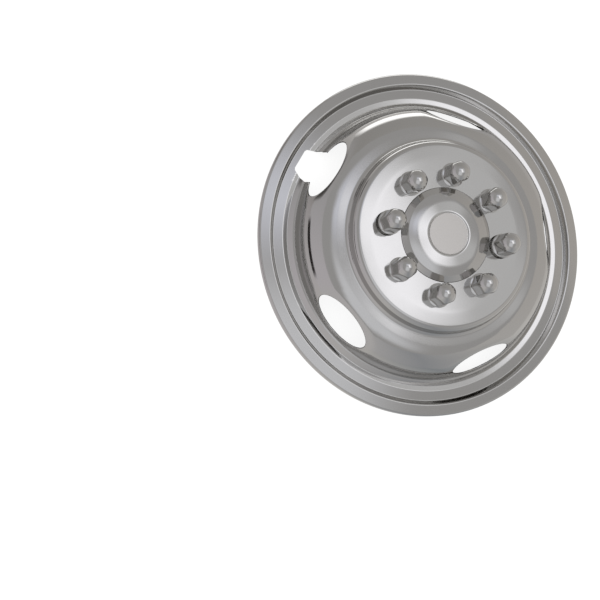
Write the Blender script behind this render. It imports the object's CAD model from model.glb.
"""Polished stainless wheel simulator for a truck's front wheel, dressed for a studio picture."""

import logging
import math
from dataclasses import dataclass, field
from enum import Enum, IntEnum
from typing import Callable

import bpy
import numpy as np
from mathutils import Matrix, Quaternion, Vector


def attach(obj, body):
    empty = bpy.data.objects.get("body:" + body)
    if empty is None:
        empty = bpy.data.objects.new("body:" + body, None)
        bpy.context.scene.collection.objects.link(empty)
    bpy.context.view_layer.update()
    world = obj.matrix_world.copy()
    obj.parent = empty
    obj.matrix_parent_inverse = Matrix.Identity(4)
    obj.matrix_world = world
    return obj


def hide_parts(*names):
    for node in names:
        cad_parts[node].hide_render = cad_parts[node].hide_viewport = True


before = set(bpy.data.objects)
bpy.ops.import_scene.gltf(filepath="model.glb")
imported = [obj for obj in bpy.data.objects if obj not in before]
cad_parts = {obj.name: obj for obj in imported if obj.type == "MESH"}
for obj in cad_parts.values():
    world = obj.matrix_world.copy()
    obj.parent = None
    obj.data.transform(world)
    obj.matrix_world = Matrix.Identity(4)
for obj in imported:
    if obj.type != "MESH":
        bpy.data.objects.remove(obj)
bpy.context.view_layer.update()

LOG = logging.getLogger("wheel_simulator")
MM = 0.001
BODY = "root"
UP = np.array([0.0, 0.0, 1.0])
# Step in millimetres that slopes are measured over, rounds of halving, and what keeps a divisor from zero.
NORMAL_STEP = 0.02
HALVINGS = 40
TINY = 1e-9
# Blender's wave texture turns through this many radians per unit of length at a scale of 1.
WAVE_RADIANS = 20.0

Pair = tuple[float, float]


class Slot(Enum):
    """Material slots of the record that the new meshes take."""

    LINER = "liner_steel"
    CAP = "cap_steel"
    COVER = "cover_steel"
    EMBLEM = "emblem_aluminium"


class Side(IntEnum):
    """Which finish of its piece a face takes: the polished one, or that of the rolling mill."""

    FRONT = 0
    BACK = 1


class Ridges(Enum):
    """How the ridges of a machined face run: in rings round its axis, or in bands across it."""

    RINGS = "RINGS"
    BANDS = "BANDS"


def linear(hex_colour: str) -> tuple[float, float, float, float]:
    """Turn an sRGB hex colour into linear RGBA.

    Args:
        hex_colour: Six hex digits, with or without a leading hash.

    Returns:
        Linear red, green and blue, and an alpha of 1.
    """
    digits = hex_colour.lstrip("#")
    channels = [int(digits[start:start + 2], 16) / 255 for start in (0, 2, 4)]
    red, green, blue = (
        channel / 12.92 if channel <= 0.04045 else ((channel + 0.055) / 1.055) ** 2.4 for channel in channels
    )
    return red, green, blue, 1.0


def add_node(tree: bpy.types.NodeTree, kind: str, settings: dict, links: dict) -> bpy.types.Node:
    """Add a shader node with its settings and links.

    Args:
        tree: Node tree that takes the node.
        kind: Blender's node type name.
        settings: Attribute names, or input sockets' names or numbers, with their values.
        links: Input sockets' names or numbers, with the output sockets that feed them.

    Returns:
        The new node.
    """
    node = tree.nodes.new(kind)
    for key, value in settings.items():
        if isinstance(key, str) and hasattr(node, key):
            setattr(node, key, value)
        else:
            node.inputs[key].default_value = value
    for key, output in links.items():
        tree.links.new(output, node.inputs[key])
    return node


def new_material(name: str) -> tuple[bpy.types.Material, bpy.types.NodeTree, bpy.types.NodeSocket]:
    """Start a material.

    Args:
        name: Its name.

    Returns:
        The material, its empty node tree and a socket with places on the object in metres.
    """
    material = bpy.data.materials.new(name)
    material.use_nodes = True
    tree = material.node_tree
    tree.nodes.clear()
    return material, tree, add_node(tree, "ShaderNodeTexCoord", {}, {}).outputs["Object"]


def unit(vectors: np.ndarray) -> np.ndarray:
    """Scale each row of an array of vectors to length one."""
    return vectors / np.linalg.norm(vectors, axis=-1, keepdims=True)


def soft_ramp(depth: np.ndarray, reach: float) -> np.ndarray:
    """Rise from zero to depth itself, rounded off within reach of zero.

    Args:
        depth: Signed distances.
        reach: Half-width of the rounded stretch.

    Returns:
        Zero below -reach, depth above reach and a parabola between.
    """
    rounded = (np.clip(depth, -reach, reach) + reach) ** 2 / (4 * reach)
    return np.where(depth > reach, depth, rounded)


def last_inside(inside: Callable[[np.ndarray], np.ndarray], limit: np.ndarray) -> np.ndarray:
    """Find by halving how far one can go before leaving a shape.

    Args:
        inside: Tells which distances are still inside.
        limit: Distances that are outside.

    Returns:
        The greatest distances inside.
    """
    near, far = np.zeros_like(limit), limit
    for _ in range(HALVINGS):
        middle = (near + far) / 2
        within = inside(middle)
        near, far = np.where(within, middle, near), np.where(within, far, middle)
    return near


def grid_cells(grid: np.ndarray) -> np.ndarray:
    """List the four corners of each cell of a grid whose rows go right round.

    Args:
        grid: Vertex numbers, or normals, in rows and columns.

    Returns:
        The corners in turn, in an array of rows, columns and corners.
    """
    closed = np.concatenate([grid, grid[:, :1]], axis=1)
    return np.stack([closed[:-1, :-1], closed[:-1, 1:], closed[1:, 1:], closed[1:, :-1]], 2)


@dataclass
class MeshDraft:
    """Vertices, faces and corner normals of one piece, in millimetres, before it becomes a mesh."""

    points: list[np.ndarray] = field(default_factory=list)
    faces: list[np.ndarray] = field(default_factory=list)
    normals: list[np.ndarray] = field(default_factory=list)
    sides: list[np.ndarray] = field(default_factory=list)
    size: int = 0

    def add_points(self, points: np.ndarray) -> np.ndarray:
        """Add vertices.

        Args:
            points: Array of shape (..., 3).

        Returns:
            Their numbers, in an array of shape (...).
        """
        count = points.size // 3
        numbers = np.arange(self.size, self.size + count).reshape(points.shape[:-1])
        self.points.append(points.reshape(-1, 3))
        self.size += count
        return numbers

    def add_faces(self, corners: np.ndarray, normals: np.ndarray, side: Side = Side.FRONT) -> None:
        """Add faces of three or four corners.

        Args:
            corners: Vertex numbers, one row per face.
            normals: A normal for each corner.
            side: Which finish of the piece they take.
        """
        self.faces.append(corners)
        self.normals.append(normals)
        self.sides.append(np.full(len(corners), side, np.int32))

    def add_grid(self, numbers: np.ndarray, normals: np.ndarray, side: Side = Side.FRONT) -> None:
        """Add the quads between the rows and columns of a grid of vertices that goes right round.

        Args:
            numbers: Vertex numbers in rows and columns; each row runs anticlockwise seen from outside.
            normals: A normal for each of them.
            side: Which finish of the piece they take.
        """
        self.add_faces(grid_cells(numbers).reshape(-1, 4), grid_cells(normals).reshape(-1, 4, 3), side)

    def add_strip(self, lower: np.ndarray, upper: np.ndarray) -> None:
        """Add the quads between two rings, shaded as one band with sharp edges.

        Args:
            lower: Vertex numbers of the first ring, anticlockwise seen from outside.
            upper: Vertex numbers of the second.
        """
        points = np.concatenate(self.points)
        rings = np.stack([lower, upper])
        around = points[np.roll(rings, -1, 1)] - points[np.roll(rings, 1, 1)]
        across = points[upper] - points[lower]
        self.add_grid(rings, unit(np.cross(around, across) + TINY))

    def add_fan(
        self, ring: np.ndarray, ring_normals: np.ndarray, tip: np.ndarray, tip_normal: np.ndarray,
        side: Side = Side.FRONT,
    ) -> None:
        """Close a ring of vertices with triangles to a tip.

        Args:
            ring: Vertex numbers, anticlockwise seen from outside.
            ring_normals: Their normals.
            tip: Place of the tip.
            tip_normal: Normal at the tip.
            side: Which finish of the piece they take.
        """
        number = self.add_points(tip[None])[0]
        corners = np.stack([ring, np.roll(ring, -1), np.full_like(ring, number)], -1)
        tips = np.broadcast_to(tip_normal, ring_normals.shape)
        self.add_faces(corners, np.stack([ring_normals, np.roll(ring_normals, -1, 0), tips], 1), side)

    def build(self, name: str) -> bpy.types.Object:
        """Make the mesh object.

        Args:
            name: Name of the piece.

        Returns:
            The object, linked to the scene and in metres.
        """
        points = np.concatenate(self.points)
        faces = [face for group in self.faces for face in group.tolist()]
        normals = np.concatenate([group.reshape(-1, 3) for group in self.normals])
        used, first = np.unique(np.concatenate([group.ravel() for group in self.faces]), return_inverse=True)
        place = iter(first.tolist())
        faces = [[next(place) for _ in face] for face in faces]
        mesh = bpy.data.meshes.new(name)
        mesh.from_pydata((points[used] * MM).tolist(), [], faces)
        mesh.polygons.foreach_set("material_index", np.concatenate(self.sides))
        mesh.shade_smooth()
        mesh.normals_split_custom_set(unit(normals).tolist())
        mesh.update()
        piece = bpy.data.objects.new(name, mesh)
        bpy.context.scene.collection.objects.link(piece)
        LOG.info("%s: %d vertices, %d faces", name, len(used), len(faces))
        return piece


def stand_in(piece: bpy.types.Object, finishes: list[bpy.types.Material], slot: Slot, *nodes: str) -> None:
    """Give a new mesh its finishes and tell the frame which nodes it stands for.

    Args:
        piece: New mesh.
        finishes: The finish of its front, and of its back where that differs.
        slot: Material slot of the record.
        nodes: Nodes that it replaces.
    """
    for finish in finishes:
        piece.data.materials.append(finish)
    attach(piece, BODY)
    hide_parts(*nodes)
    LOG.info("%s stands for %s", piece.name, ", ".join(nodes))


@dataclass
class RoundedLine:
    """A line of straight legs with rounded corners, in millimetres, as in a drawn section.

    Each inner corner gets the bend wanted for it, or as much of it as its legs have room for.
    """

    corners: list[Pair]
    wanted: list[float]
    sample_turn: float = math.radians(1.5)
    leg_share: float = 0.97

    def __post_init__(self) -> None:
        """Work out the legs, the bends that fit them and finely spaced samples along the line."""
        corners = np.array(self.corners, float)
        legs = np.diff(corners, axis=0)
        lengths = np.linalg.norm(legs, axis=1)
        headings = np.unwrap(np.arctan2(legs[:, 1], legs[:, 0]))
        turns = np.diff(headings)
        halves = np.tan(np.abs(turns) / 2)
        reach = np.concatenate([[0], np.array(self.wanted) * halves, [0]])
        room = self.leg_share * lengths / (reach[:-1] + reach[1:])
        bends = np.array(self.wanted) * np.minimum(1, np.minimum(room[:-1], room[1:]))
        cut = np.concatenate([[0], bends * halves, [0]])
        spots, angles, spans = [corners[0]], [headings[0]], []
        for leg, length in enumerate(lengths):
            along = legs[leg] / length
            spots.append(corners[leg] + along * (length - cut[leg + 1]))
            angles.append(headings[leg])
            spans.append((length - cut[leg] - cut[leg + 1], 0.0))
            if leg < len(turns):
                steps = max(2, math.ceil(abs(turns[leg]) / self.sample_turn))
                side = np.array([-along[1], along[0]]) * np.sign(turns[leg])
                centre = spots[-1] + side * bends[leg]
                swept = turns[leg] * np.arange(1, steps + 1) / steps
                arm = -side * bends[leg]
                for angle in swept:
                    cosine, sine = math.cos(angle), math.sin(angle)
                    spots.append(centre + np.array([[cosine, -sine], [sine, cosine]]) @ arm)
                    angles.append(headings[leg] + angle)
                spans.append((bends[leg] * abs(turns[leg]), abs(turns[leg])))
        self.spots = np.array(spots)
        self.angles = np.array(angles)
        self.spans = spans
        self.along = self._lengths_along()

    def _lengths_along(self) -> np.ndarray:
        """Distance along the line of each sample, true on arcs as well."""
        chords = np.linalg.norm(np.diff(self.spots, axis=0), axis=1)
        bend = np.abs(np.diff(self.angles)) / 2
        stretch = np.where(bend > 0, bend / np.maximum(np.sin(bend), TINY), 1.0)
        return np.concatenate([[0], np.cumsum(chords * stretch)])

    def rows(self, longest: float, sharpest: float) -> np.ndarray:
        """Choose where rows of vertices cross the line.

        Args:
            longest: Longest step on straight legs, in millimetres.
            sharpest: Largest turn of one step on a bend, in degrees.

        Returns:
            Distances along the line.
        """
        marks = [np.zeros(1)]
        start = 0.0
        for length, turn in self.spans:
            steps = max(1, math.ceil(length / longest), math.ceil(math.degrees(turn) / sharpest))
            marks.append(start + length * np.arange(1, steps + 1) / steps)
            start += length
        return np.concatenate(marks)

    def at(self, along: np.ndarray) -> tuple[np.ndarray, np.ndarray]:
        """Find the points at given distances along the line.

        Args:
            along: Distances in millimetres.

        Returns:
            Radii and heights.
        """
        return np.interp(along, self.along, self.spots[:, 0]), np.interp(along, self.along, self.spots[:, 1])

    def normal_at(self, along: np.ndarray) -> tuple[np.ndarray, np.ndarray]:
        """Radial and axial parts of the unit normal on the line's right, which is the polished side."""
        angle = np.interp(along, self.along, self.angles)
        return np.sin(angle), -np.cos(angle)

    def where_radius(self, radius: float) -> float:
        """Distance along the line at which it comes in to a radius."""
        return float(np.interp(-radius, -self.spots[:, 0], self.along))


def ring_points(radii: np.ndarray, heights: np.ndarray, columns: int) -> np.ndarray:
    """Turn a section round the Z axis.

    Args:
        radii: Radius of each row.
        heights: Height of each row.
        columns: Number of points in a row.

    Returns:
        Points in rows and columns.
    """
    turn = np.linspace(0, 2 * math.pi, columns, endpoint=False)
    across = np.stack([np.cos(turn), np.sin(turn)], -1)
    flat = radii[:, None, None] * across[None]
    return np.concatenate([flat, np.broadcast_to(heights[:, None, None], flat.shape[:2] + (1,))], -1)


@dataclass(frozen=True)
class Opening:
    """A hole in the sheet, with the T-shaped block of grid cells that it takes out.

    The rows are those of the foot of the T's stem, the foot of its bar and the top of the bar. The columns
    are the left of the bar, the left and the right of the stem and the right of the bar.
    """

    rows: tuple[int, int, int]
    columns: tuple[int, int, int, int]
    centre: Pair
    level: Callable[[np.ndarray, np.ndarray], np.ndarray]
    rings: int


@dataclass
class WheelLiner:
    """The stamped liner: rim, dome with punched hand holes and valve notch, and hub face.

    The sizes after the holes of the lugs say how finely the sheet is meshed. A block is the part of the grid
    that a hole takes out: its angles are half-widths in degrees, and its margins are in millimetres.
    """

    sheet: float = 1.2
    rim_diameter: float = 477.0
    lip_height: float = 8.0
    lip_bend: float = 3.0
    band_width: float = 16.0
    band_rise: float = 1.6
    band_crest_bend: float = 3.0
    groove_wall_width: float = 5.0
    groove_depth: float = 7.8
    groove_bend: float = 1.6
    ridge_width: float = 13.3
    ridge_rise: float = 1.5
    ridge_bend: float = 4.0
    step_foot_width: float = 6.8
    step_foot_drop: float = 1.4
    step_foot_bend: float = 1.4
    step_width: float = 5.6
    step_rise: float = 5.6
    step_bend: float = 2.0
    ledge_width: float = 2.4
    ledge_rise: float = 0.9
    ledge_bend: float = 1.2
    dome_wall_angle: float = 75.0
    dome_top_angle: float = 5.5
    dome_knee_bend: float = 45.0
    hub_radius: float = 131.2
    shoulder_foot_height: float = 57.2
    shoulder_angle: float = 80.0
    shoulder_foot_bend: float = 7.0
    shoulder_top_bend: float = 9.0
    hub_edge_drop: float = 1.7
    hub_face_height: float = 76.7
    land_radius: float = 103.05
    land_bend: float = 90.0
    cap_hole_radius: float = 64.4
    hand_holes: int = 5
    notch_angle: float = 180.0
    facet_angle: float = 56.0
    facet_depth: float = 6.1
    facet_blend: float = 2.6
    hand_hole_width: float = 89.0
    hand_hole_height: float = 40.0
    hand_hole_shift: float = -1.5
    hand_hole_flange: float = 2.0
    curl_above: float = 1.5
    curl_below: float = 1.0
    notch_inner_width: float = 50.0
    notch_outer_width: float = 32.5
    notch_corner: float = 2.0
    notch_inset: float = 9.0
    lug_circle: float = 165.1
    lug_start: float = 22.5
    lugs: int = 8
    lug_hole_radius: float = 14.2
    nut_hole_radius: float = 12.0
    columns: int = 360
    longest_row: float = 3.0
    sharpest_row: float = 12.0
    search_steps: int = 400
    hand_hole_rings: int = 10
    lug_hole_rings: int = 4
    ring_crowding: float = 0.8
    hand_hole_block: float = 19.0
    notch_block: float = 9.0
    notch_block_margin: float = 2.5
    dome_block_foot: float = 0.6
    dome_block_top: float = 8.0
    lug_block: float = 14.5
    lug_block_outer: float = 17.0
    lug_block_inner: float = 16.0
    curl_steps: int = 6
    curl_tolerance: float = 0.004

    def __post_init__(self) -> None:
        """Lay out the section and the planes of the hand-hole facets."""
        rim = self.rim_diameter / 2
        crest = (rim - self.band_width, self.lip_height + self.band_rise)
        groove = (crest[0] - self.groove_wall_width, crest[1] - self.groove_depth)
        self.notch_end = groove[0] - self.notch_inset
        ridge = (groove[0] - self.ridge_width, groove[1] + self.ridge_rise)
        step_foot = (ridge[0] - self.step_foot_width, ridge[1] - self.step_foot_drop)
        step = (step_foot[0] - self.step_width, step_foot[1] + self.step_rise)
        self.dome_foot = (step[0] - self.ledge_width, step[1] + self.ledge_rise)
        wall, top = (math.tan(math.radians(slope)) for slope in (self.dome_wall_angle, self.dome_top_angle))
        foot_gap = self.dome_foot[1] - self.shoulder_foot_height
        self.knee_radius = (foot_gap + wall * self.dome_foot[0] - top * self.hub_radius) / (wall - top)
        knee = (self.knee_radius, self.dome_foot[1] + wall * (self.dome_foot[0] - self.knee_radius))
        hub_edge_height = self.hub_face_height - self.hub_edge_drop
        shoulder_rise = hub_edge_height - self.shoulder_foot_height
        shoulder_run = shoulder_rise / math.tan(math.radians(self.shoulder_angle))
        self.line = RoundedLine(
            [
                (rim, 0), (rim, self.lip_height), crest, groove, ridge, step_foot, step, self.dome_foot, knee,
                (self.hub_radius, self.shoulder_foot_height),
                (self.hub_radius - shoulder_run, hub_edge_height), (self.land_radius, self.hub_face_height),
                (self.cap_hole_radius, self.hub_face_height),
            ],
            [
                self.lip_bend, self.band_crest_bend, self.groove_bend, self.ridge_bend, self.step_foot_bend,
                self.step_bend, self.ledge_bend, self.dome_knee_bend, self.shoulder_foot_bend,
                self.shoulder_top_bend, self.land_bend,
            ],
        )
        self.foot_along = self.line.where_radius(self.dome_foot[0])
        steep = math.radians(self.dome_wall_angle)
        half_turn = math.radians(self.dome_wall_angle - self.dome_top_angle) / 2
        reach = self.dome_knee_bend * math.tan(half_turn)
        start = (knee[0] + reach * math.cos(steep), knee[1] - reach * math.sin(steep))
        self.knee_centre = (
            start[0] - self.dome_knee_bend * math.sin(steep),
            start[1] - self.dome_knee_bend * math.cos(steep),
        )

    def hand_hole_angles(self) -> list[float]:
        """Angles of the hand holes in degrees; the first has the valve notch."""
        return [self.notch_angle + 360 / self.hand_holes * index for index in range(self.hand_holes)]

    def studs(self) -> list[tuple[float, bool]]:
        """Angles of the wheel's studs in degrees, each with whether a retaining nut goes on it."""
        spacing, opposite = 360 / self.lugs, self.lugs // 2
        return [(self.lug_start + spacing * index, index % opposite == 0) for index in range(self.lugs)]

    def facet_axes(self, angle: float) -> tuple[np.ndarray, np.ndarray, np.ndarray, np.ndarray]:
        """Find the plane that a hand hole is punched through.

        Args:
            angle: Angle of the hand hole in degrees.

        Returns:
            Origin on the plane, its outward normal, the way round the wheel and the way up the slope.
        """
        slope, turn = math.radians(self.facet_angle), math.radians(angle)
        out = np.array([math.cos(turn), math.sin(turn), 0.0])
        normal = math.sin(slope) * out + math.cos(slope) * UP
        origin = self.knee_centre[0] * out + self.knee_centre[1] * UP
        origin = origin + (self.dome_knee_bend - self.facet_depth) * normal
        around = np.array([-out[1], out[0], 0.0])
        return origin, normal, around, np.cross(normal, around)

    def curl_ellipse(self) -> tuple[float, float, float]:
        """Half-width, half-height and shift of the ellipse where a hand hole's edge starts to curl in."""
        reach = (self.curl_above + self.curl_below) / 2
        shift = self.hand_hole_shift + (self.curl_above - self.curl_below) / 2
        return self.hand_hole_width / 2 + reach, self.hand_hole_height / 2 + reach, shift

    def turned(self, along: np.ndarray, turn: np.ndarray) -> np.ndarray:
        """Points of the plain turned face, before the facets are drawn in."""
        radius, height = self.line.at(along)
        return np.stack([radius * np.cos(turn), radius * np.sin(turn), height], -1)

    def face(self, along: np.ndarray, turn: np.ndarray) -> np.ndarray:
        """Find points of the polished face.

        Args:
            along: Distances along the section, from the lip inwards.
            turn: Angles round the wheel in radians.

        Returns:
            The points, with the facets drawn into the dome.
        """
        points = self.turned(along, turn)
        fade = np.clip((along - self.foot_along) / self.facet_blend, 0, 1)
        for angle in self.hand_hole_angles():
            origin, normal, _, _ = self.facet_axes(angle)
            near = np.cos(turn - math.radians(angle)) > math.cos(math.pi / self.hand_holes)
            sink = soft_ramp((points - origin) @ normal, self.facet_blend)
            points = points - np.where(near, fade * fade * (3 - 2 * fade) * sink, 0)[..., None] * normal
        return points

    def face_normals(self, along: np.ndarray, turn: np.ndarray) -> np.ndarray:
        """Unit normals of the polished face, from small steps along and round it."""
        radius, _ = self.line.at(along)
        step = NORMAL_STEP / radius
        low, high = self.line.along[0], self.line.along[-1]
        inner, outer = np.minimum(along + NORMAL_STEP, high), np.maximum(along - NORMAL_STEP, low)
        inward = self.face(inner, turn) - self.face(outer, turn)
        around = self.face(along, turn + step) - self.face(along, turn - step)
        return unit(np.cross(around, inward))

    def hand_hole_level(self, angle: float, notched: bool) -> Callable[[np.ndarray, np.ndarray], np.ndarray]:
        """Make the test for the inside of a hand hole.

        Args:
            angle: Angle of the hole in degrees.
            notched: Whether the valve notch opens into it.

        Returns:
            A function of place on the sheet that is negative inside the hole.
        """
        origin, _, around, upward = self.facet_axes(angle)
        half_width, half_height, shift = self.curl_ellipse()
        out = np.array([math.cos(math.radians(angle)), math.sin(math.radians(angle)), 0.0])
        notch_taper = (self.notch_inner_width - self.notch_outer_width) / (self.notch_end - self.dome_foot[0])

        def level(along: np.ndarray, turn: np.ndarray) -> np.ndarray:
            """How far outside the hole places lie, as a share of its size."""
            points = self.turned(along, turn) - origin
            ellipse = (points @ around / half_width) ** 2 + ((points @ upward - shift) / half_height) ** 2 - 1
            if not notched:
                return ellipse
            reach = (points + origin) @ out
            half = self.notch_outer_width / 2 + notch_taper / 2 * np.clip(self.notch_end - reach, 0, None)
            side = np.abs(points @ around) - np.minimum(half, self.notch_inner_width / 2)
            end = reach - self.notch_end
            corner = side + soft_ramp(end - side, self.notch_corner)
            notch = np.maximum(corner, self.knee_radius - reach) / (self.hand_hole_height / 2)
            return np.minimum(ellipse, notch)

        return level

    def lug_hole_level(self, angle: float, radius: float) -> Callable[[np.ndarray, np.ndarray], np.ndarray]:
        """Make the test for the inside of a round hole on the stud circle.

        Args:
            angle: Angle of the stud in degrees.
            radius: Radius of the hole.

        Returns:
            A function of place on the sheet that is negative inside the hole.
        """
        stud = self.lug_circle / 2 * np.array([math.cos(math.radians(angle)), math.sin(math.radians(angle))])

        def level(along: np.ndarray, turn: np.ndarray) -> np.ndarray:
            """How far outside the hole places lie, as a share of its radius."""
            places = self.turned(along, turn)[..., :2]
            return np.linalg.norm(places - stud, axis=-1) / radius - 1

        return level

    def openings(self, rows: np.ndarray) -> list[Opening]:
        """List the holes in the sheet.

        Args:
            rows: Distances of the grid's rows along the section.

        Returns:
            The hand holes, then the holes of the lug covers and nuts.
        """
        found = []
        radii = self.line.at(rows)[0]
        per_degree = self.columns / 360

        def block(
            limits: tuple[float, float, float], middle: float, stem: float, bar: float,
        ) -> tuple[tuple[int, ...], tuple[int, ...]]:
            """Rows at three radii, and columns at half-widths of the stem and the bar from the middle."""
            levels = tuple(int(np.argmin(np.abs(radii - radius))) for radius in limits)
            return levels, tuple(round((middle + side) * per_degree) for side in (-bar, -stem, stem, bar))

        dome_outer = self.dome_foot[0] - self.dome_block_foot
        dome_inner = self.knee_centre[0] + self.dome_block_top
        steps = np.linspace(self.foot_along, self.line.where_radius(dome_inner), self.search_steps)
        for index, angle in enumerate(self.hand_hole_angles()):
            notched = index == 0
            foot = self.notch_end + self.notch_block_margin if notched else dome_outer
            stem = self.notch_block if notched else self.hand_hole_block
            cells = block((foot, dome_outer, dome_inner), angle, stem, self.hand_hole_block)
            origin, _, _, upward = self.facet_axes(angle)
            heights = (self.turned(steps, np.full_like(steps, math.radians(angle))) - origin) @ upward
            middle = float(np.interp(self.hand_hole_shift, heights, steps))
            level = self.hand_hole_level(angle, notched)
            found.append(Opening(*cells, (middle, math.radians(angle)), level, self.hand_hole_rings))
        lug_radius = self.lug_circle / 2
        lug_outer, lug_inner = lug_radius + self.lug_block_outer, lug_radius - self.lug_block_inner
        middle = self.line.where_radius(lug_radius)
        for angle, held in self.studs():
            cells = block((lug_outer, lug_outer, lug_inner), angle, self.lug_block, self.lug_block)
            level = self.lug_hole_level(angle, self.nut_hole_radius if held else self.lug_hole_radius)
            found.append(Opening(*cells, (middle, math.radians(angle)), level, self.lug_hole_rings))
        return found

    def build(self) -> bpy.types.Object:
        """Mesh the sheet: polished face, back and cut edges.

        Returns:
            The liner's object.
        """
        rows = self.line.rows(self.longest_row, self.sharpest_row)
        turns = np.radians(np.arange(self.columns) * 360 / self.columns)
        places = [np.stack(np.meshgrid(rows, turns, indexing="ij"), -1).reshape(-1, 2)]
        numbers = np.arange(rows.size * self.columns).reshape(rows.size, self.columns)
        keep = np.ones((rows.size - 1, self.columns), bool)
        quads, loops, curls = [], [numbers[0][::-1], numbers[-1]], []
        count = numbers.size
        for opening in self.openings(rows):
            (foot, low, high), (left, near, far, right) = opening.rows, opening.columns
            keep[low:high, np.arange(left, right) % self.columns] = False
            keep[foot:low, np.arange(near, far) % self.columns] = False
            border = self._border(opening)
            spots = np.stack([rows[border[:, 0]], np.radians(border[:, 1] * 360 / self.columns)], -1)
            edge = self._hole_edge(opening, spots)
            ring = numbers[border[:, 0], border[:, 1] % self.columns]
            for share in np.linspace(0, 1, opening.rings + 1)[1:] ** self.ring_crowding:
                places.append(spots + (edge - spots) * share)
                inner = np.arange(count, count + len(border))
                count += len(border)
                quads.append(grid_cells(np.stack([ring, inner]))[0])
                ring = inner
            if len(curls) < self.hand_holes:
                curls.append(ring)
            else:
                loops.append(ring)
        quads.append(grid_cells(numbers)[keep])
        return self._thicken(np.concatenate(places), np.concatenate(quads), loops, curls)

    def dress(self, back: bpy.types.Material) -> None:
        """Build the liner and give it buffed steel in front and the mill's finish behind."""
        front = PolishedSteel("buffed_stainless_sheet").make()
        stand_in(self.build(), [front, back], Slot.LINER, "wheel_liner")

    def _border(self, opening: Opening) -> np.ndarray:
        """Rows and columns round an opening's block of cells, anticlockwise seen from the front."""
        (foot, low, high), (left, near, far, right) = opening.rows, opening.columns
        turns = [
            (foot, near), (foot, far), (low, far), (low, right),
            (high, right), (high, left), (low, left), (low, near),
        ]
        border = []
        for (row, column), (next_row, next_column) in zip(turns, turns[1:] + turns[:1]):
            steps = abs(next_row - row) + abs(next_column - column)
            rows = np.linspace(row, next_row, steps, endpoint=False)
            columns = np.linspace(column, next_column, steps, endpoint=False)
            border.append(np.stack([rows, columns], -1))
        return np.rint(np.concatenate(border)).astype(int)

    def _hole_edge(self, opening: Opening, border: np.ndarray) -> np.ndarray:
        """Find the edge of a hole on the way from its centre to each border point.

        Args:
            opening: The hole.
            border: Places on the sheet round it.

        Returns:
            Places on the hole's edge, one for each border point.
        """
        centre = np.array(opening.centre)
        way = border - centre

        def inside(share: np.ndarray) -> np.ndarray:
            """Whether the places at shares of the way lie in the hole."""
            spots = centre + way * share[:, None]
            return opening.level(spots[:, 0], spots[:, 1]) < 0

        return centre + way * last_inside(inside, np.ones(len(border)))[:, None]

    def _thicken(
        self, places: np.ndarray, quads: np.ndarray, loops: list[np.ndarray], curls: list[np.ndarray],
    ) -> bpy.types.Object:
        """Give the face its back, the walls along its cut edges and the curled edges of the hand holes.

        Args:
            places: Place on the sheet of each vertex.
            quads: Faces of the polished side.
            loops: Vertex numbers along each cut edge.
            curls: Vertex numbers along the edge of each hand hole.

        Returns:
            The liner's object.
        """
        draft = MeshDraft()
        points = self.face(places[:, 0], places[:, 1])
        normals = self.face_normals(places[:, 0], places[:, 1])
        front = draft.add_points(points)
        back = draft.add_points(points - normals * self.sheet)
        draft.add_faces(front[quads], normals[quads])
        draft.add_faces(back[quads[:, ::-1]], -normals[quads[:, ::-1]], Side.BACK)
        for loop in loops:
            self._wall(draft, points[loop], normals[loop], front[loop], back[loop], np.ones(len(loop), bool))
        for loop, angle in zip(curls, self.hand_hole_angles()):
            self._curl(draft, points[loop], normals[loop], front[loop], back[loop], angle)
        return draft.build("wheel_liner_sheet")

    def _wall(
        self, draft: MeshDraft, points: np.ndarray, normals: np.ndarray, front: np.ndarray, back: np.ndarray,
        wanted: np.ndarray,
    ) -> None:
        """Close a cut edge between the face and the back.

        Args:
            draft: Mesh that takes the wall.
            points: Places along the edge of the face.
            normals: Normals of the face there.
            front: Vertex numbers along the face.
            back: Vertex numbers along the back.
            wanted: Which stretches to close, each from a point to the next.
        """
        run = np.roll(points, -1, 0) - np.roll(points, 1, 0)
        outward = unit(np.cross(run, -normals))
        corners, shading = (grid_cells(np.stack(pair))[0] for pair in ((front, back), (outward, outward)))
        draft.add_faces(corners[wanted], shading[wanted])

    def _curl(
        self, draft: MeshDraft, points: np.ndarray, normals: np.ndarray, front: np.ndarray, back: np.ndarray,
        angle: float,
    ) -> None:
        """Roll the edge of a hand hole inwards, except where the valve notch cuts it.

        Args:
            draft: Mesh that takes the curl.
            points: Places along the edge of the face.
            normals: Normals of the face there.
            front: Vertex numbers along the face.
            back: Vertex numbers along the back.
            angle: Angle of the hand hole in degrees.
        """
        origin, facing, around, upward = self.facet_axes(angle)
        half_width, half_height, shift = self.curl_ellipse()
        across = (points - origin) @ around / half_width
        height = ((points - origin) @ upward - shift) / half_height
        turn = np.arctan2(height, across)[:, None]
        curled = np.abs(np.hypot(across, height) - 1) < self.curl_tolerance
        goal = origin + self.hand_hole_width / 2 * np.cos(turn) * around
        goal = goal + (self.hand_hole_shift + self.hand_hole_height / 2 * np.sin(turn)) * upward
        depth = ((goal - points) @ facing)[:, None]
        inward = goal - points - depth * facing
        size = np.linalg.norm(inward, axis=1, keepdims=True)
        spots, leans = [], [normals]
        for sweep in math.pi / 2 * np.arange(1, self.curl_steps + 1) / self.curl_steps:
            spots.append(points + inward * math.sin(sweep) - size * (1 - math.cos(sweep)) * facing)
            leans.append(math.cos(sweep) * facing + math.sin(sweep) * inward / size)
        spots.append(goal - self.hand_hole_flange * facing)
        leans.append(leans[-1])
        shades, spots = np.stack(leans), np.stack(spots)
        fronts = np.concatenate([front[None], draft.add_points(spots)])
        backs = np.concatenate([back[None], draft.add_points(spots - shades[1:] * self.sheet)])
        both = curled & np.roll(curled, -1)
        shading = grid_cells(shades)[:, both].reshape(-1, 4, 3)
        draft.add_faces(grid_cells(fronts)[:, both].reshape(-1, 4), shading)
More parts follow.
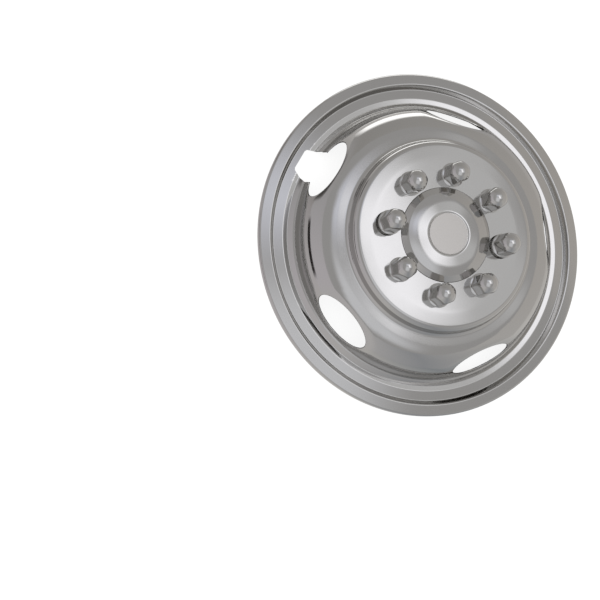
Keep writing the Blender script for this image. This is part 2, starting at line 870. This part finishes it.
        draft.add_faces(grid_cells(backs)[:, both].reshape(-1, 4)[:, ::-1], -shading[:, ::-1], Side.BACK)
        caps = np.stack([fronts[:-1], fronts[1:], backs[1:], backs[:-1]], -1)
        sideways = unit(np.cross(facing, inward))
        for end, flip in ((curled & ~np.roll(curled, -1), 1), (curled & ~np.roll(curled, 1), -1)):
            corners = caps[:, end]
            facets = np.broadcast_to(-flip * sideways[end][None, :, None], corners.shape + (3,))
            draft.add_faces(corners.reshape(-1, 4)[:, ::flip], facets.reshape(-1, 4, 3))
        rim = grid_cells(np.stack([fronts[-1], backs[-1]]))[0][both]
        draft.add_faces(rim, np.broadcast_to(-facing, rim.shape + (3,)))
        self._wall(draft, points, normals, front, back, ~both)


@dataclass
class CentreCap:
    """The drawn cap in the middle, with a recess for the emblem disc."""

    hub_face_height: float
    hub_sheet: float
    radius: float = 63.8
    sheet: float = 0.9
    flange_radius: float = 66.05
    flange_bend: float = 0.5
    skirt_lift: float = 0.3
    skirt_foot_bend: float = 1.2
    skirt_width: float = 7.8
    skirt_rise: float = 5.6
    skirt_bend: float = 4.0
    brow_width: float = 9.0
    brow_rise: float = 2.6
    brow_bend: float = 60.0
    crest_rise: float = 10.2
    crest_bend: float = 1.2
    recess_radius: float = 28.1
    recess_bevel: float = 1.5
    recess_depth: float = 1.0
    recess_bend: float = 0.8
    columns: int = 240
    longest_row: float = 2.5
    sharpest_row: float = 10.0

    def seat_height(self) -> float:
        """Height of the recess floor that the emblem disc lies on."""
        return self.hub_face_height + self.crest_rise - self.recess_depth

    def build(self) -> bpy.types.Object:
        """Turn the cap's section.

        Returns:
            The cap's object.
        """
        face, back = self.hub_face_height, self.hub_face_height - self.hub_sheet
        skirt_top = (self.radius - self.skirt_width, face + self.skirt_rise)
        line = RoundedLine(
            [
                (self.flange_radius, back), (self.radius, back), (self.radius, face + self.skirt_lift),
                skirt_top, (skirt_top[0] - self.brow_width, skirt_top[1] + self.brow_rise),
                (self.recess_radius + self.recess_bevel, face + self.crest_rise),
                (self.recess_radius, self.seat_height()), (0.0, self.seat_height()),
            ],
            [
                self.flange_bend, self.skirt_foot_bend, self.skirt_bend, self.brow_bend, self.crest_bend,
                self.recess_bend,
            ],
        )
        rows = line.rows(self.longest_row, self.sharpest_row)[:-1]
        radius, height = line.at(rows)
        lean, rise = line.normal_at(rows)
        draft = MeshDraft()
        normals = ring_points(lean, rise, self.columns)
        front = draft.add_points(ring_points(radius, height, self.columns))
        rear_radius, rear_height = radius - lean * self.sheet, height - rise * self.sheet
        rear = draft.add_points(ring_points(rear_radius, rear_height, self.columns))
        draft.add_grid(front, normals)
        draft.add_grid(rear[::-1], -normals[::-1], Side.BACK)
        outward = ring_points(np.ones(2), np.zeros(2), self.columns)
        draft.add_grid(np.stack([rear[0], front[0]]), outward)
        seat = UP * self.seat_height()
        draft.add_fan(front[-1], normals[-1], seat, UP)
        draft.add_fan(rear[-1][::-1], -normals[-1][::-1], seat - UP * self.sheet, -UP, Side.BACK)
        return draft.build("centre_cap_shell")

    def dress(self, back: bpy.types.Material) -> None:
        """Build the cap and give it buffed steel in front and the mill's finish behind."""
        front = PolishedSteel("buffed_stainless_cap").make()
        stand_in(self.build(), [front, back], Slot.CAP, "centre_cap")


@dataclass
class EmblemDisc:
    """The bare disc that lies in the cap's recess."""

    seat_height: float
    diameter: float = 55.6
    thickness: float = 0.9
    edge: float = 0.3
    foot_edge: float = 0.02
    columns: int = 180
    longest_row: float = 3.0
    sharpest_row: float = 15.0

    def build(self) -> bpy.types.Object:
        """Turn the disc's section.

        Returns:
            The disc's object.
        """
        rim, low, high = self.diameter / 2, self.seat_height, self.seat_height + self.thickness
        line = RoundedLine([(0.0, low), (rim, low), (rim, high), (0.0, high)], [self.foot_edge, self.edge])
        rows = line.rows(self.longest_row, self.sharpest_row)[1:-1]
        radius, height = line.at(rows)
        normals = ring_points(*line.normal_at(rows), self.columns)
        draft = MeshDraft()
        numbers = draft.add_points(ring_points(radius, height, self.columns))
        draft.add_grid(numbers, normals)
        draft.add_fan(numbers[-1], normals[-1], UP * high, UP)
        draft.add_fan(numbers[0][::-1], normals[0][::-1], UP * low, -UP)
        return draft.build("emblem_disc_plate")

    def dress(self) -> None:
        """Build the disc and give it spun aluminium all over."""
        stand_in(self.build(), [SpunAluminium().make()], Slot.EMBLEM, "emblem_disc")


@dataclass(frozen=True)
class CrownedHex:
    """A hexagonal bar that ends in a ball crown, with softened edges, as on an acorn nut."""

    width: float
    ball_radius: float
    ball_height: float
    edge: float
    eye_share: float = 0.6

    def level(self, points: np.ndarray) -> np.ndarray:
        """Signed distance to the bar's surface, negative inside."""
        inside = np.full(points.shape[:-1], -self.width)
        for side in range(6):
            turn = math.pi / 3 * (side + 0.5)
            flat = points[..., 0] * math.cos(turn) + points[..., 1] * math.sin(turn) - self.width / 2
            inside = inside + soft_ramp(flat - inside, self.edge)
        above = np.clip(points[..., 2] - self.ball_height, 0, None)
        ball = np.linalg.norm([points[..., 0], points[..., 1], above], axis=0) - self.ball_radius
        return inside + soft_ramp(ball - inside, self.edge)

    def reach(self, start: np.ndarray, way: np.ndarray) -> np.ndarray:
        """Find how far the surface lies from an inner point.

        Args:
            start: A point inside the bar.
            way: Unit directions.

        Returns:
            Distances along the directions.
        """
        limit = np.full(way.shape[:-1], 2 * self.ball_radius)
        return last_inside(lambda distance: self.level(start + way * distance[..., None]) < 0, limit)

    def rows(self, foot: float, count: int, turn: np.ndarray) -> tuple[np.ndarray, np.ndarray]:
        """Cover the bar with rows of points, from its foot to just below the tip.

        Args:
            foot: Height of the first row.
            count: Number of rows.
            turn: Angles of the columns in radians.

        Returns:
            The points and their outward normals, in rows and columns.
        """
        eye = UP * (foot + self.eye_share * (self.ball_height - foot))
        out = np.stack([np.cos(turn), np.sin(turn), np.zeros_like(turn)], -1)
        first = np.arctan2(foot - eye[2], self.reach(UP * foot, out))
        climb = first + (math.pi / 2 - first) * (np.arange(count) / count)[:, None]
        way = np.cos(climb)[..., None] * out + np.sin(climb)[..., None] * UP
        points = eye + way * self.reach(eye, way)[..., None]
        steps = NORMAL_STEP * np.eye(3)
        slopes = np.stack([self.level(points + step) - self.level(points - step) for step in steps], -1)
        return points, unit(slopes)


@dataclass
class LugCover:
    """A hollow acorn cover whose flange lies on the hub face, with tabs bent out behind it."""

    hub_sheet: float
    hex_width: float = 27.0
    crown_radius: float = 16.4
    crown_centre: float = 16.5
    wall: float = 1.0
    edge_round: float = 2.0
    flange_diameter: float = 33.0
    flange_foot_edge: float = 0.1
    flange_edge: float = 0.25
    flange_slope: float = 1.0
    flange_fall: float = 0.5
    neck_diameter: float = 28.0
    seat_clearance: float = 0.1
    tabs: int = 4
    tab_angle: float = 40.0
    tab_reach: float = 2.0
    reach_between_tabs: float = 0.05
    lift: float = 0.0
    columns: int = 144
    outer_rows: int = 60
    inner_rows: int = 20
    longest_row: float = 2.0
    sharpest_row: float = 30.0

    def turns(self) -> np.ndarray:
        """Angles of the columns in radians."""
        return np.linspace(0, 2 * math.pi, self.columns, endpoint=False)

    def bar(self, inset: float) -> CrownedHex:
        """The hexagon with its crown, drawn in by inset all over."""
        height = self.lift + self.crown_centre
        return CrownedHex(self.hex_width - 2 * inset, self.crown_radius - inset, height, self.edge_round)

    def flange_rows(self, root: float) -> list[tuple[np.ndarray | float, float]]:
        """Radii and heights of the flange's rows, from its underside at root round to its top."""
        rim, low, high = self.flange_diameter / 2, self.lift, self.lift + self.wall
        edge = high - self.flange_fall
        line = RoundedLine(
            [(root, low), (rim, low), (rim, edge), (rim - self.flange_slope, high)],
            [self.flange_foot_edge, self.flange_edge],
        )
        rows = line.rows(self.longest_row, self.sharpest_row)
        return list(zip(*(values.tolist() for values in line.at(rows))))

    def skirt_rows(self) -> list[tuple[np.ndarray | float, float]]:
        """Radii and heights of the rows from the bore round the neck and its tabs to the flange's top."""
        outer = self.neck_diameter / 2
        bore = outer - self.wall
        tab_top = -self.hub_sheet - self.seat_clearance
        bottom = tab_top - self.wall
        spacing = 2 * math.pi / self.tabs
        on_tab = np.abs(self.turns() % spacing - spacing / 2) < math.radians(self.tab_angle) / 2
        tab = outer + np.where(on_tab, self.tab_reach, self.reach_between_tabs)
        neck = [(bore, 0.0), (bore, bottom), (tab, bottom), (tab, tab_top), (outer, tab_top)]
        return neck + self.flange_rows(outer)

    def build(self, name: str, place: Matrix) -> bpy.types.Object:
        """Mesh the cover.

        Args:
            name: Name of the piece.
            place: From the stud's own axes, in metres, to the wheel's.

        Returns:
            The cover's object, with its place in its mesh.
        """
        draft = MeshDraft()
        turn = self.turns()
        inner_points, inner_normals = self.bar(self.wall).rows(self.lift, self.inner_rows, turn)
        inner = draft.add_points(inner_points)
        ceiling = UP * (self.lift + self.crown_centre + self.crown_radius - self.wall)
        draft.add_fan(inner[-1][::-1], -inner_normals[-1][::-1], ceiling, -UP, Side.BACK)
        draft.add_grid(inner[::-1], -inner_normals[::-1], Side.BACK)
        below = inner[0]
        out = np.stack([np.cos(turn), np.sin(turn), np.zeros_like(turn)], -1)
        for radius, height in self.skirt_rows():
            ring = draft.add_points(np.broadcast_to(radius, turn.shape)[:, None] * out + height * UP)
            draft.add_strip(below, ring)
            below = ring
        foot = self.lift + self.wall + self.flange_fall
        outer_points, outer_normals = self.bar(0.0).rows(foot, self.outer_rows, turn)
        outer = draft.add_points(outer_points)
        draft.add_strip(below, outer[0])
        draft.add_grid(outer, outer_normals)
        draft.add_fan(outer[-1], outer_normals[-1], ceiling + UP * self.wall, UP)
        piece = draft.build(name)
        piece.data.transform(place)
        return piece

    def dress(self, node: str, place: Matrix, finishes: list[bpy.types.Material]) -> None:
        """Build the cover for a node at its place and give it its two finishes."""
        stand_in(self.build(f"{node}_shell", place), finishes, Slot.COVER, node)


@dataclass
class RetainingCover(LugCover):
    """The taller cover over a retaining nut, with a collar under its flange and a rolled-in bottom edge."""

    lift: float = 4.8
    collar_diameter: float = 29.0
    lip: float = 1.0
    lip_bore: float = 12.0
    foot_chamfer: float = 0.3

    def skirt_rows(self) -> list[tuple[np.ndarray | float, float]]:
        """Radii and heights of the rows from the bore round the collar to the flange's top."""
        outer = self.collar_diameter / 2
        bore = outer - self.wall
        inside = [(bore, self.lift), (bore, self.lip), (self.lip_bore, self.lip), (self.lip_bore, 0.0)]
        chamfer = [(outer - self.foot_chamfer, 0.0), (outer, self.foot_chamfer)]
        return inside + chamfer + self.flange_rows(outer)


@dataclass(frozen=True)
class PolishedSteel:
    """Stainless sheet, drawn in a press and then buffed to a mirror.

    It reflects the studio almost unbroken. Buffing leaves a faint haze that differs from place to place, and
    the press leaves slow waves that make long reflections waver.
    """

    name: str
    colour: str = "#c2c1bf"
    roughness: float = 0.07
    haze: float = 0.05
    haze_size: float = 35.0
    wave_size: float = 60.0
    wave_height: float = 0.03

    def make(self) -> bpy.types.Material:
        """Build the material.

        Returns:
            The new material.
        """
        material, tree, place = new_material(self.name)
        haze = add_node(
            tree, "ShaderNodeTexNoise",
            {"Scale": 1 / (self.haze_size * MM), "Detail": 4.0, "Roughness": 0.6}, {"Vector": place},
        )
        spread = add_node(
            tree, "ShaderNodeMapRange",
            {
                "From Min": 0.3, "From Max": 0.7,
                "To Min": self.roughness, "To Max": self.roughness + self.haze,
            },
            {"Value": haze.outputs["Fac"]},
        )
        wave = add_node(
            tree, "ShaderNodeTexNoise",
            {"Scale": 1 / (self.wave_size * MM), "Detail": 1.0}, {"Vector": place},
        )
        bump = add_node(
            tree, "ShaderNodeBump", {"Strength": 1.0, "Distance": self.wave_height * MM},
            {"Height": wave.outputs["Fac"]},
        )
        shader = add_node(
            tree, "ShaderNodeBsdfPrincipled", {"Base Color": linear(self.colour), "Metallic": 1.0},
            {"Roughness": spread.outputs["Result"], "Normal": bump.outputs["Normal"]},
        )
        add_node(tree, "ShaderNodeOutputMaterial", {}, {"Surface": shader.outputs["BSDF"]})
        return material


@dataclass(frozen=True)
class MillSteel(PolishedSteel):
    """The back of the sheet, left as it came from the rolling mill.

    It shows light and dark only as broad soft patches, a little uneven where the press has rubbed it.
    """

    colour: str = "#c3c1bd"
    roughness: float = 0.27
    haze: float = 0.14
    haze_size: float = 18.0


@dataclass(frozen=True)
class MachinedMetal:
    """Metal cut on a lathe, which leaves even ridges.

    Fine ridges break reflections up into a satin sheen, and coarse ones show as bands.
    """

    name: str
    colour: str
    roughness: float
    pitch: float
    ridge_height: float
    ridges: Ridges
    axis: Pair = (0.0, 0.0)
    reach: float = 1000.0

    def make(self) -> bpy.types.Material:
        """Build the material, with the ridges only within reach of its axis.

        Returns:
            The new material.
        """
        material, tree, place = new_material(self.name)
        axis = (self.axis[0] * MM, self.axis[1] * MM, 0.0)
        centred = add_node(tree, "ShaderNodeVectorMath", {"operation": "SUBTRACT", 1: axis}, {0: place})
        kind = self.ridges.value
        scale = 2 * math.pi / (WAVE_RADIANS * self.pitch * MM)
        ridges = add_node(
            tree, "ShaderNodeTexWave", {"wave_type": kind, f"{kind.lower()}_direction": "Z", "Scale": scale},
            {"Vector": centred.outputs["Vector"]},
        )
        flat = add_node(
            tree, "ShaderNodeVectorMath", {"operation": "MULTIPLY", 1: (1.0, 1.0, 0.0)},
            {0: centred.outputs["Vector"]},
        )
        length = add_node(tree, "ShaderNodeVectorMath", {"operation": "LENGTH"}, {0: flat.outputs["Vector"]})
        near = add_node(
            tree, "ShaderNodeMath", {"operation": "LESS_THAN", 1: self.reach * MM},
            {0: length.outputs["Value"]},
        )
        height = add_node(
            tree, "ShaderNodeMath", {"operation": "MULTIPLY"},
            {0: ridges.outputs["Fac"], 1: near.outputs["Value"]},
        )
        bump = add_node(
            tree, "ShaderNodeBump", {"Strength": 1.0, "Distance": self.ridge_height * MM},
            {"Height": height.outputs["Value"]},
        )
        shader = add_node(
            tree, "ShaderNodeBsdfPrincipled",
            {"Base Color": linear(self.colour), "Metallic": 1.0, "Roughness": self.roughness},
            {"Normal": bump.outputs["Normal"]},
        )
        add_node(tree, "ShaderNodeOutputMaterial", {}, {"Surface": shader.outputs["BSDF"]})
        return material


@dataclass(frozen=True)
class SpunAluminium(MachinedMetal):
    """Aluminium sheet turned with rings a quarter of a millimetre apart.

    It is an even pale satin that shows no image of the studio.
    """

    name: str = "spun_aluminium"
    colour: str = "#c8c5c1"
    roughness: float = 0.36
    pitch: float = 0.25
    ridge_height: float = 0.002
    ridges: Ridges = Ridges.RINGS


@dataclass(frozen=True)
class ZincPlatedThread(MachinedMetal):
    """Turned steel with a zinc plating, and a thread cut in its bore.

    It is a dull blue-grey, and the thread shows as even light and dark bands.
    """

    colour: str = "#a9afb6"
    roughness: float = 0.34
    pitch: float = 1.5
    ridge_height: float = 0.6
    ridges: Ridges = Ridges.BANDS
    reach: float = 6.9


def hang(
    name: str, corners: list[list[float]], faces: list[list[int]], material: bpy.types.Material,
) -> bpy.types.Object:
    """Add a thing of the studio that only reflections show.

    Args:
        name: Name of the object.
        corners: Its vertices, in metres.
        faces: Vertex numbers of its faces.
        material: Its glowing material.

    Returns:
        The new object, marked as part of the stage.
    """
    mesh = bpy.data.meshes.new(name)
    mesh.from_pydata(corners, [], faces)
    mesh.materials.append(material)
    thing = bpy.data.objects.new(name, mesh)
    thing.visible_camera = thing.visible_diffuse = thing.visible_shadow = False
    bpy.context.scene.collection.objects.link(thing)
    return thing


@dataclass(frozen=True)
class Card:
    """A flat card or light panel of the studio, which shows only in reflections.

    Its angles are in degrees and its sizes in metres.
    """

    name: str
    azimuth: float
    elevation: float
    distance: float
    size: Pair
    colour: str
    strength: float = 1.0
    feather: float = 0.05

    def place(self) -> Matrix:
        """Where the card hangs: facing the wheel, with its width level."""
        turn, rise = math.radians(self.azimuth), math.radians(self.elevation)
        away = Vector((math.cos(rise) * math.cos(turn), math.cos(rise) * math.sin(turn), math.sin(rise)))
        level = Vector((-math.sin(turn), math.cos(turn), 0.0))
        axes = Matrix((level, away.cross(level), -away)).transposed()
        return Matrix.Translation(away * self.distance) @ axes.to_4x4()

    def material(self) -> bpy.types.Material:
        """Make paper or cloth that glows evenly and fades out at the card's edges.

        Returns:
            The new material.
        """
        material, tree, place = new_material(self.name)
        spread = add_node(
            tree, "ShaderNodeVectorMath",
            {"operation": "DIVIDE", 1: (self.size[0] / 2, self.size[1] / 2, 1.0)}, {0: place},
        )
        sides = add_node(
            tree, "ShaderNodeVectorMath", {"operation": "ABSOLUTE"}, {0: spread.outputs["Vector"]},
        )
        split = add_node(tree, "ShaderNodeSeparateXYZ", {}, {"Vector": sides.outputs["Vector"]})
        edge = add_node(
            tree, "ShaderNodeMath", {"operation": "SMOOTH_MAX", 2: self.feather},
            {0: split.outputs["X"], 1: split.outputs["Y"]},
        )
        cover = add_node(
            tree, "ShaderNodeMapRange",
            {"interpolation_type": "SMOOTHSTEP", "From Min": 1.0, "From Max": 1.0 - self.feather},
            {"Value": edge.outputs["Value"]},
        )
        glow = add_node(
            tree, "ShaderNodeEmission", {"Color": linear(self.colour), "Strength": self.strength}, {},
        )
        clear = add_node(tree, "ShaderNodeBsdfTransparent", {}, {})
        mixed = add_node(
            tree, "ShaderNodeMixShader", {},
            {0: cover.outputs["Result"], 1: clear.outputs["BSDF"], 2: glow.outputs["Emission"]},
        )
        add_node(tree, "ShaderNodeOutputMaterial", {}, {"Surface": mixed.outputs["Shader"]})
        return material

    def build(self) -> bpy.types.Object:
        """Hang the card.

        Returns:
            The card's object.
        """
        half_width, half_height = self.size[0] / 2, self.size[1] / 2
        signs = ((-1, -1), (1, -1), (1, 1), (-1, 1))
        corners = [[across * half_width, up * half_height, 0.0] for across, up in signs]
        card = hang(self.name, corners, [[0, 1, 2, 3]], self.material())
        card.matrix_world = self.place()
        return card


@dataclass(frozen=True)
class PaperTent:
    """Grey paper all round the wheel and on the table under it, which shows only in reflections.

    Each ring of paper changes tone slowly round the wheel, as paper does that is lit from a few sides.
    Its lengths are in metres.
    """

    radius: float = 1.6
    height: float = 1.6
    lift: float = 0.0005
    hollow: float = 0.205
    glow: float = 1.25
    hollow_tone: str = "#2b2927"
    wall_tones: tuple[str, ...] = (
        "#b0aeb0", "#c0bcc0", "#c2c0c0", "#9a9ca0", "#bcbab8", "#b8b4b0", "#a6a4a2", "#9c9a98",
    )
    table_tones: tuple[str, ...] = (
        "#a09c9c", "#bebabc", "#c2c0be", "#92969a", "#cccac8", "#bebab6", "#aaa8a8", "#cac8c6",
    )
    columns: int = 96

    def paper(self, name: str, tones: tuple[str, ...]) -> bpy.types.Material:
        """Make paper whose tone changes round the wheel.

        Args:
            name: Name of the material.
            tones: sRGB colours in equal steps round the wheel, from its notched side on.

        Returns:
            The new material.
        """
        material, tree, place = new_material(name)
        turn = add_node(tree, "ShaderNodeTexGradient", {"gradient_type": "RADIAL"}, {"Vector": place})
        ramp = add_node(tree, "ShaderNodeValToRGB", {}, {"Fac": turn.outputs["Fac"]})
        stops = ramp.color_ramp.elements
        stops[0].color = stops[1].color = linear(tones[0])
        for number, tone in enumerate(tones[1:], start=1):
            stops.new(number / len(tones)).color = linear(tone)
        glow = add_node(tree, "ShaderNodeEmission", {"Strength": self.glow}, {"Color": ramp.outputs["Color"]})
        add_node(tree, "ShaderNodeOutputMaterial", {}, {"Surface": glow.outputs["Emission"]})
        return material

    def ring(self, name: str, inner: Pair, outer: Pair, tones: tuple[str, ...]) -> bpy.types.Object:
        """Make a ring of paper between two circles, each given by its radius and height."""
        radii, heights = np.array([inner, outer]).T
        circles = ring_points(radii, heights, self.columns).reshape(-1, 3)
        quads = grid_cells(np.arange(2 * self.columns).reshape(2, -1)).reshape(-1, 4)
        return hang(name, circles.tolist(), quads.tolist(), self.paper(name, tones))

    def build(self) -> None:
        """Set up the wall, the table paper round the wheel and the dark space under its dome."""
        self.ring("tent_wall", (self.radius, 0.0), (self.radius, self.height), self.wall_tones)
        self.ring("tent_table", (self.hollow, self.lift), (self.radius, self.lift), self.table_tones)
        self.ring("tent_hollow", (0.0, self.lift), (self.hollow, self.lift), (self.hollow_tone,))


@dataclass
class Studio:
    """A white sweep with soft light all round, and cards that the polished metal reflects."""

    floor_size: float = 12.0
    white: str = "#ffffff"
    paper: str = "#a0a0a0"
    paper_glow: float = 0.88
    diffuse_level: float = 0.6
    cards: tuple[Card, ...] = (
        Card("main_softbox", 52, 74, 1.56, (1.0, 0.55), "#fafaff", 1.62, 0.57),
        Card("softbox_glow", 50, 63, 1.8, (1.27, 0.84), "#c8c8c9", 1.25, 0.33),
        Card("side_softbox", 294, 74, 1.66, (1.47, 1.67), "#cecfd3", 1.4, 0.64),
        Card("fill_softbox", 124, 74, 1.7, (1.1, 0.8), "#d8dae4", 1.35, 0.9),
        Card("ceiling", 0, 90, 2.0, (6.0, 6.0), "#a6a5a5", 1.25),
        Card("low_window", 122, 0, 0.33, (0.34, 0.15), "#ffffff", 2.0, 0.4),
        Card("dark_gobo", 170, 4, 0.5, (0.2, 0.22), "#5a5856", 1.0, 0.6),
        Card("dark_strip", 212, 3, 0.55, (0.36, 0.09), "#262422", 1.0, 0.3),
    )
    tent: PaperTent = PaperTent()

    def build(self) -> None:
        """Set up the floor, the world, the cards and the paper round the wheel."""
        self.floor()
        self.world()
        for card in self.cards:
            card.build()
        self.tent.build()

    def seen(self, tree: bpy.types.NodeTree) -> bpy.types.NodeSocket:
        """Tell the rays that see the background, straight or in metal or glass, from those that light things.

        Args:
            tree: Node tree of the floor or the world.

        Returns:
            A socket that is 1 on camera, glossy and transmission rays.
        """
        path = add_node(tree, "ShaderNodeLightPath", {}, {}).outputs
        direct = add_node(
            tree, "ShaderNodeMath", {"operation": "MAXIMUM"},
            {0: path["Is Camera Ray"], 1: path["Is Glossy Ray"]},
        )
        either = add_node(
            tree, "ShaderNodeMath", {"operation": "MAXIMUM"},
            {0: direct.outputs["Value"], 1: path["Is Transmission Ray"]},
        )
        return either.outputs["Value"]

    def floor(self) -> None:
        """Lay a pale floor that looks white and keeps a soft shadow."""
        half = self.floor_size / 2
        mesh = bpy.data.meshes.new("studio_floor")
        corners = [(-half, -half, 0), (half, -half, 0), (half, half, 0), (-half, half, 0)]
        mesh.from_pydata(corners, [], [(0, 1, 2, 3)])
        floor = bpy.data.objects.new("studio_floor", mesh)
        bpy.context.scene.collection.objects.link(floor)
        material, tree, _ = new_material("white_paper")
        paper = add_node(tree, "ShaderNodeBsdfDiffuse", {"Color": linear(self.paper)}, {})
        glow = add_node(
            tree, "ShaderNodeEmission", {"Color": linear(self.white), "Strength": self.paper_glow}, {},
        )
        both = add_node(
            tree, "ShaderNodeAddShader", {}, {0: paper.outputs["BSDF"], 1: glow.outputs["Emission"]},
        )
        mixed = add_node(
            tree, "ShaderNodeMixShader", {},
            {0: self.seen(tree), 1: paper.outputs["BSDF"], 2: both.outputs["Shader"]},
        )
        add_node(tree, "ShaderNodeOutputMaterial", {}, {"Surface": mixed.outputs["Shader"]})
        mesh.materials.append(material)

    def world(self) -> None:
        """Surround the scene with even soft light that looks white."""
        world = bpy.data.worlds.new("studio_world")
        bpy.context.scene.world = world
        world.use_nodes = True
        tree = world.node_tree
        tree.nodes.clear()
        level = add_node(
            tree, "ShaderNodeMapRange", {"To Min": self.diffuse_level, "To Max": 1.0},
            {"Value": self.seen(tree)},
        )
        sky = add_node(
            tree, "ShaderNodeBackground", {"Color": linear(self.white)},
            {"Strength": level.outputs["Result"]},
        )
        add_node(tree, "ShaderNodeOutputWorld", {}, {"Surface": sky.outputs["Background"]})


@dataclass(frozen=True)
class PhotoCamera:
    """A camera above the wheel on its -X, -Y side, turned about its line of sight.

    Its lengths are in millimetres and its roll is in degrees.
    """

    place: tuple[float, float, float] = (-471.4, -616.1, 1642.2)
    aim: tuple[float, float, float] = (-110.912, -164.176, 0.0)
    roll: float = 70.12
    lens: float = 78.29
    sensor: float = 36.0

    def build(self) -> bpy.types.Object:
        """Set the camera up and make it the scene's own.

        Returns:
            The camera's object.
        """
        data = bpy.data.cameras.new("photo_camera")
        data.lens, data.sensor_width = self.lens, self.sensor
        camera = bpy.data.objects.new("photo_camera", data)
        towards = Vector(self.aim) - Vector(self.place)
        turn = towards.to_track_quat("-Z", "Y") @ Quaternion((0, 0, 1), math.radians(self.roll))
        camera.matrix_world = Matrix.Translation(Vector(self.place) * MM) @ turn.to_matrix().to_4x4()
        bpy.context.scene.collection.objects.link(camera)
        bpy.context.scene.camera = camera
        return camera


def dress_nut(node: str, axis: Pair) -> None:
    """Give a retaining nut zinc-plated steel, with a thread in its bore.

    Args:
        node: The nut's node.
        axis: Place of its axis in millimetres.
    """
    zinc = ZincPlatedThread(f"zinc_plated_{node}", axis=axis)
    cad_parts[node].material_slots[0].material = zinc.make()
    LOG.info("%s keeps its own solid, zinc plated", node)


def main() -> None:
    """Build and dress the wheel simulator, then set up the studio and the camera."""
    logging.basicConfig(level=logging.INFO)
    back = MillSteel("mill_finish_stainless").make()
    liner = WheelLiner()
    liner.dress(back)
    cap = CentreCap(liner.hub_face_height, liner.sheet)
    cap.dress(back)
    EmblemDisc(cap.seat_height()).dress()
    finishes = [PolishedSteel("buffed_stainless_cover").make(), back]
    numbers = {LugCover: 0, RetainingCover: 0}
    for angle, held in liner.studs():
        turn = math.radians(angle)
        spot = Vector((math.cos(turn), math.sin(turn), 0)) * liner.lug_circle / 2
        spot.z = liner.hub_face_height
        place = Matrix.Translation(spot * MM) @ Matrix.Rotation(turn, 4, "Z")
        cover = RetainingCover if held else LugCover
        numbers[cover] += 1
        node = f"{'retaining' if held else 'lug'}_cover_{numbers[cover]}"
        cover(liner.sheet).dress(node, place, finishes)
        if held:
            dress_nut(f"retaining_nut_{numbers[cover]}", (spot.x, spot.y))
    Studio().build()
    PhotoCamera().build()
    bpy.context.scene.view_settings.view_transform = "Standard"


if __name__ == "__main__":
    main()
